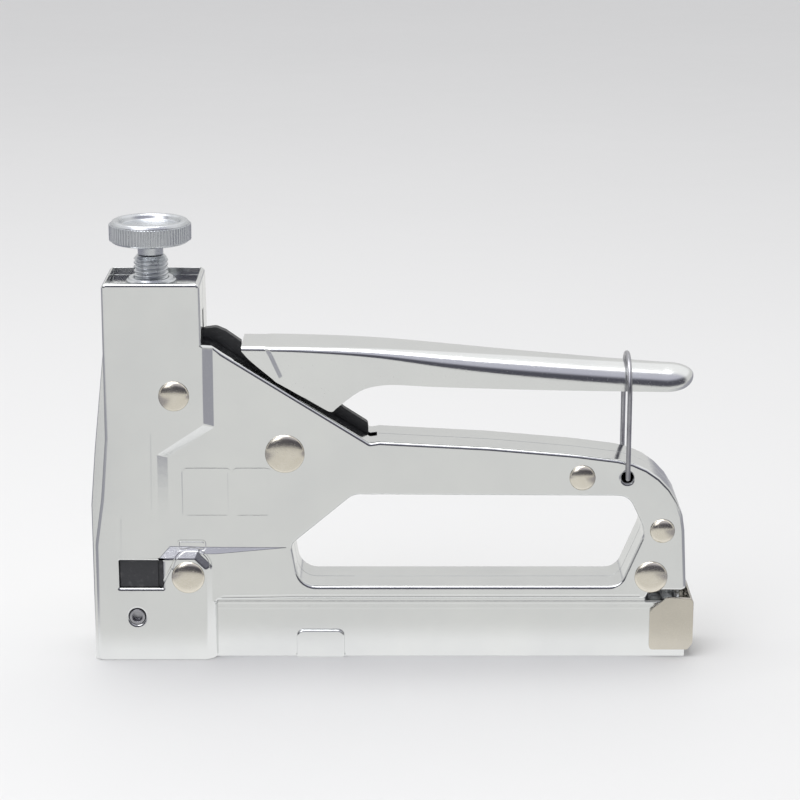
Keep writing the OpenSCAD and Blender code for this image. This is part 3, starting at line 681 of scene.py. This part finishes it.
def handleMesh():
    h = squeezeHandle
    work = bmesh.new()
    rows = []
    for i in range(h["stations"] + 1):
        x = stationAt(i / h["stations"])
        held = min(x, h["tailStart"])
        low, top, half, bend = (along(h[key], held) for key in ("low", "crown", "half", "round"))
        reach = max(0.0, (x - h["tailStart"]) / (h["end"] - h["tailStart"]))
        close = max(h["tailLeast"], (1 - reach ** h["tailPower"]) ** 0.5)     # the tail rounds to its end
        low, top = (h["tailMiddle"] + (edge - h["tailMiddle"]) * close for edge in (low, top))
        half, bend = half * close, min(bend * close, half * close, top - low)
        outline = []
        for k in range(h["sideSteps"]):
            outline.append((half, low + (top - bend - low) * k / h["sideSteps"]))
        for k in range(h["crownSteps"] + 1):
            a = math.radians(90 * k / h["crownSteps"])
            outline.append((half - bend + bend * math.cos(a), top - bend + bend * math.sin(a)))
        outline += [((half - bend) * (1 - k / 4), top) for k in range(1, 4)]
        row = []
        for y, z in [(-y, z) for y, z in outline] + [(0.0, top)] + outline[::-1]:
            inward = h["foldIn"] * max(0.0, min(1.0, besideFold(x, z) / h["foldWide"] + 0.5))
            side = (y > 0) - (y < 0)                         # 1, -1, or 0 in the middle
            row.append(work.verts.new(spot(x, y, z) - Vector((0, inward * side * mm, 0))))
        rows.append(row)
    for a, b in zip(rows, rows[1:]):
        for k in range(len(a) - 1):
            work.faces.new((a[k], a[k + 1], b[k + 1], b[k]))
    bmesh.ops.remove_doubles(work, verts=work.verts, dist=5e-6)
    bmesh.ops.recalc_face_normals(work, faces=work.faces)
    crownFace = max(work.faces, key=lambda face: face.calc_center_median().z)
    if crownFace.normal.z < 0:
        bmesh.ops.reverse_faces(work, faces=work.faces)
    return meshFrom(work, "squeezeHandle")


handle = addMesh("squeezeHandle", handleMesh())
wall = handle.modifiers.new("wall", "SOLIDIFY")
wall.thickness, wall.offset, wall.use_even_offset = squeezeHandle["wall"] * mm, -1.0, False
rim = handle.modifiers.new("rim", "BEVEL")
rim.width, rim.segments = squeezeHandle["rim"] * mm, 3
rim.limit_method, rim.angle_limit = "ANGLE", math.radians(50)
applied(handle)
smoothShade(handle, 45)
seat(handle, "lever", "handleChrome", "chrome_handle", "handle")
print("handle:", len(handle.data.polygons), "faces")


knob = {"sides": 144, "radius": 11.8, "dish": 9.0, "dishDeep": 1.6,
        "ribs": 76, "ribRadius": 0.36, "ribsIn": 0.28, "ribsShort": 2.3}
knobLow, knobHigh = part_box("tension_knob")
knobAt = Vector(((knobLow.x + knobHigh.x) / 2, 0, knobLow.z))
knobTall = (knobHigh.z - knobLow.z) / mm
r, d, dishFloor = knob["radius"], knob["dish"], knobTall - knob["dishDeep"]
knobBody = lathe("knobBody", softened([
    (0, 0), (r - 2.6, 0), (r - 2.0, 0.35), (r - 0.9, 0.35), (r - 0.45, 0.9), (r - 0.45, 1.15),
    (r - 0.22, 1.3), (r - 0.22, knobTall - 1.3), (r - 0.45, knobTall - 1.15), (r - 0.45, knobTall - 0.9),
    (r - 1.0, knobTall), (d + 0.5, knobTall), (d, knobTall - 0.4), (d - 0.5, dishFloor),
    (2.4, dishFloor - 0.1), (0, dishFloor - 0.1)], 0.35), knobAt, knob["sides"])
smoothShade(knobBody, 50)
seat(knobBody, "tension_screw", "satinZinc", "zinc", "tension_knob")

tree, keys = knurlTree()
ribs = grown("knobKnurl", tree, keys, {
    "count": knob["ribs"], "radius": (r - knob["ribsIn"]) * mm, "rib": knob["ribRadius"] * mm,
    "height": (knobTall - knob["ribsShort"]) * mm})
ribs.data.transform(Matrix.Translation(knobAt + Vector((0, 0, knobTall * 0.5 * mm))))
smoothShade(ribs, 60)
seat(ribs, "tension_screw", "satinZinc", "zinc")

screw = {"diameter": 10.0, "pitch": 1.25, "depth": 0.62, "neck": 3.3, "neckRadius": 3.7,
         "around": 73, "rows": 170}
screwLow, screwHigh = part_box("tension_screw")
threadLong = (screwHigh.z - screwLow.z) - screw["neck"] * mm
tree, keys = threadTree()
thread = grown("screwThread", tree, keys, {
    "radius": screw["diameter"] / 2 * mm, "depth": screw["depth"] * mm, "pitch": screw["pitch"] * mm,
    "length": threadLong, "around": screw["around"], "rows": screw["rows"]})
thread.data.transform(Matrix.Translation(Vector((knobAt.x, 0, screwLow.z))))
smoothShade(thread, 60)
seat(thread, "tension_screw", "satinZinc", "zinc", "tension_screw")
n, long = screw["neckRadius"], screw["neck"]
neck = lathe("screwNeck", softened([
    (0, 0), (n, 0), (n, long - 0.9), (n + 0.9, long - 0.5), (n + 0.9, long + 0.1), (0, long + 0.1)], 0.4),
    Vector((knobAt.x, 0, screwHigh.z - long * mm)), 64)
smoothShade(neck, 50)
seat(neck, "tension_screw", "satinZinc", "zinc")

bushSizes = {"bore": 5.06, "body": 6.0, "flange": 7.3, "flangeDown": 2.0}
bushLow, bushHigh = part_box("threaded_bush")
bushTall = (bushHigh.z - bushLow.z) / mm
bore, outer, flange, under = (bushSizes[key] for key in ("bore", "body", "flange", "flangeDown"))
bush = lathe("threadedBush", softened([
    (bore, 0), (outer, 0), (outer, bushTall - under), (flange, bushTall - under), (flange, bushTall - 0.9),
    (flange - 0.6, bushTall - 0.7), (flange - 0.9, bushTall), (bore + 0.34, bushTall),
    (bore, bushTall - 0.4), (bore, 0)], 0.3), Vector((knobAt.x, 0, bushLow.z)))
welded(bush, 1e-7)
smoothShade(bush, 50)
seat(bush, "frame", "satinZinc", "zinc", "threaded_bush")
print("knob, screw and bush made")


points = bpy.data.meshes.new("rivetPoints")
points.from_pydata([spot(x, side * y, z) for x, z, y, *_ in rivetRows for side in (-1, 1)], [], [])
turns, heads, shanks = (points.attributes.new(kind, "FLOAT_VECTOR", "POINT")
                        for kind in ("turn", "headSize", "shankSize"))
for k, (row, side) in enumerate((row, side) for row in rivetRows for side in (-1, 1)):
    seatAt, head, dome, shank = row[2:]
    turns.data[k].vector = (math.radians(-90 * side), 0, 0)
    heads.data[k].vector = (head * mm, head * mm, dome * mm)
    shanks.data[k].vector = (shank * mm, shank * mm, seatAt * mm)
tree, keys = rivetTree()
rivets = grown("domedRivets", tree, keys, {"sides": 48}, points)
smoothShade(rivets, 60)
seat(rivets, "frame", "rivetNickel", "nickel", "head_rivet", "pivot_rivet", "nose_rivet", "frame_rivets")
print("rivets:", len(rivetRows) * 2)


springs = {                                            # turns, coil and wire radius in mm, steps in a turn
    "power": (7.0, 3.95, 0.8, 40), "pusher": (36.0, 2.9, 0.5, 32), "return": (4.0, 4.85, 0.6, 36)}
coilGap = 2.4 * mm                                     # from the middle to where a return coil starts
tree, keys = coilTree()


def wound(name, kind, length):
    turns, radius, wire, steps = springs[kind]
    return grown(name, tree, keys, {
        "turns": turns, "radius": radius * mm, "wire": wire * mm, "length": length, "steps": steps})


def coil(name, kind, length, turn, start, body, node):
    made = wound(name, kind, length)
    made.data.transform(Matrix.Translation(start) @ turn)
    smoothShade(made, 60)
    seat(made, body, "springSteel", "spring_steel", node)
    return made


low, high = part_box("power_spring")                     # the plunger presses its lower half, the cup its upper
axisX, middle = (low.x + high.x) / 2, (low.z + high.z) / 2
half, straight = (high.z - low.z) / 2 - springs["power"][2] * mm, Matrix.Identity(4)
lower = coil("powerSpringLower", "power", half, straight, Vector((axisX, 0, middle - half)),
             "frame", "power_spring")
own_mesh(lower)
upper = coil("powerSpringUpper", "power", half, straight, Vector((axisX, 0, middle)), None, "power_spring")
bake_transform(upper)

low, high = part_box("pusher_spring")
wire = springs["pusher"][2] * mm
push = coil("pusherSpring", "pusher", high.x - low.x - 2 * wire, Matrix.Rotation(math.pi / 2, 4, "Y"),
            Vector((low.x + wire, 0, (low.z + high.z) / 2)), "pusher", "pusher_spring")
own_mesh(push)

low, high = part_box("return_spring")
centre = (low + high) / 2
weld = bmesh.new()
for side in (-1, 1):
    made = wound("coilSide", "return", high.y - coilGap - springs["return"][2] * mm)
    made.data.transform(Matrix.Translation(Vector((centre.x, side * coilGap, centre.z)))
                        @ Matrix.Rotation(-side * math.pi / 2, 4, "X"))
    weld.from_mesh(made.data)
    bpy.data.objects.remove(made)
returnSpring = addMesh("returnSpring", meshFrom(weld, "returnSpring"))
smoothShade(returnSpring, 60)
seat(returnSpring, "frame", "springSteel", "spring_steel", "return_spring")
print("springs made")


floorLook = {                                          # colours, and where they change, in metres; near, far, aside: a painted reflection
    "color": rgb(0.76, 0.76, 0.755), "shade": rgb(0.73, 0.73, 0.725), "half": 4.0,
    "near": rgb(1, 1, 1), "far": rgb(0.80, 0.80, 0.785), "aside": rgb(0.38, 0.38, 0.42),
    "farFrom": (0.018, 0.04), "asideFrom": (0.095, 0.15), "asideUpTo": (-0.34, -0.18)}
material, tree, place = newMaterial("paleFloor")
x, y = place.axis(0), place.axis(1)
cloud = place.noise(3.0, 3.0)
floor = tree.node("ShaderNodeBsdfPrincipled", {}, {
    "Base Color": cloud.blend(floorLook["shade"], floorLook["color"]),
    "Roughness": 0.62 + (place.noise(40.0, 3.0) - 0.5) * 0.2})
# painted reflection: for glossy rays only, the floor glows white near the object, with no shadow, greyer
# further off and dark grey aside
away = y.size().ease(*floorLook["farFrom"]).blend(floorLook["near"], floorLook["far"])
aside = x.size().ease(*floorLook["asideFrom"]) * y.ease(*floorLook["asideUpTo"])
paintedReflection = tree.node("ShaderNodeEmission", {}, {"Color": aside.blend(away, floorLook["aside"]), "Strength": 1.0})
mirrored = tree.node("ShaderNodeLightPath", {}, {}, "Is Glossy Ray")     # metal sees a painted reflection, white near, dark grey aside
mixed = tree.node("ShaderNodeMixShader", {}, {0: mirrored, 1: floor, 2: paintedReflection})
tree.node("ShaderNodeOutputMaterial", {}, {"Surface": mixed})
mesh = bpy.data.meshes.new("floor")
side = floorLook["half"]
mesh.from_pydata([(-side, -side, 0), (side, -side, 0), (side, side, 0), (-side, side, 0)], [], [(0, 1, 2, 3)])
mesh.materials.append(material)
addMesh("floor", mesh)

sky = {"band": rgb(0.085, 0.085, 0.105), "front": rgb(0.55, 0.55, 0.63), "rear": rgb(0.72, 0.72, 0.71),
       "top": rgb(1.0, 1.0, 1.0), "seen": rgb(0.84, 0.84, 0.84),
       "frontRise": (0.42, 0.66), "rearRise": (0.30, 0.60), "rearFrom": (-0.45, -0.10)}
world = bpy.data.worlds.new("studio")
world.use_nodes = True
world.node_tree.nodes.clear()
tree = Wire(world.node_tree)
heading = tree.node("ShaderNodeTexCoord", {}, {}, "Generated")
up, back = heading.axis(2), heading.axis(1)
front = up.ease(*sky["frontRise"]).blend(sky["band"], sky["front"])
behind = up.ease(*sky["rearRise"]).blend(sky["rear"], sky["top"])
dome = back.ease(*sky["rearFrom"]).blend(front, behind)
watched = tree.node("ShaderNodeLightPath", {}, {}, "Is Camera Ray")
shine = tree.node("ShaderNodeBackground", {}, {"Color": watched.blend(dome, sky["seen"]), "Strength": 1.0})
tree.node("ShaderNodeOutputWorld", {}, {"Surface": shine})
scene.world = world

lampsFace = Vector((0, 0, 0.06))
lamps = {                                              # place, power, size
    "overhead": ((-0.20, -0.10, 1.20), 7.0, 0.9),
    "leftFill": ((-0.7, -0.9, 1.0), 3.5, 0.8),
}
for name, (at, power, size) in lamps.items():
    light = bpy.data.lights.new(name, "AREA")
    light.energy, light.size = power, size
    lamp = bpy.data.objects.new(name, light)
    lamp.location = at
    lamp.rotation_euler = (lampsFace - Vector(at)).to_track_quat("-Z", "Y").to_euler()
    scene.collection.objects.link(lamp)

shot = {"target": Vector((0.00166, 0, 0.0769)), "distance": 0.75, "elevation": 15.0, "lens": 114.8}
eye = bpy.data.objects.new("camera", bpy.data.cameras.new("camera"))
tilt = math.radians(shot["elevation"])
back = Vector((0, -math.cos(tilt), math.sin(tilt)))
eye.location = shot["target"] + back * shot["distance"]
eye.rotation_euler = (-back).to_track_quat("-Z", "Y").to_euler()
eye.data.lens, eye.data.sensor_width = shot["lens"], 36.0
scene.collection.objects.link(eye)
scene.camera = eye
scene.view_settings.view_transform = "Standard"
print("stage set")
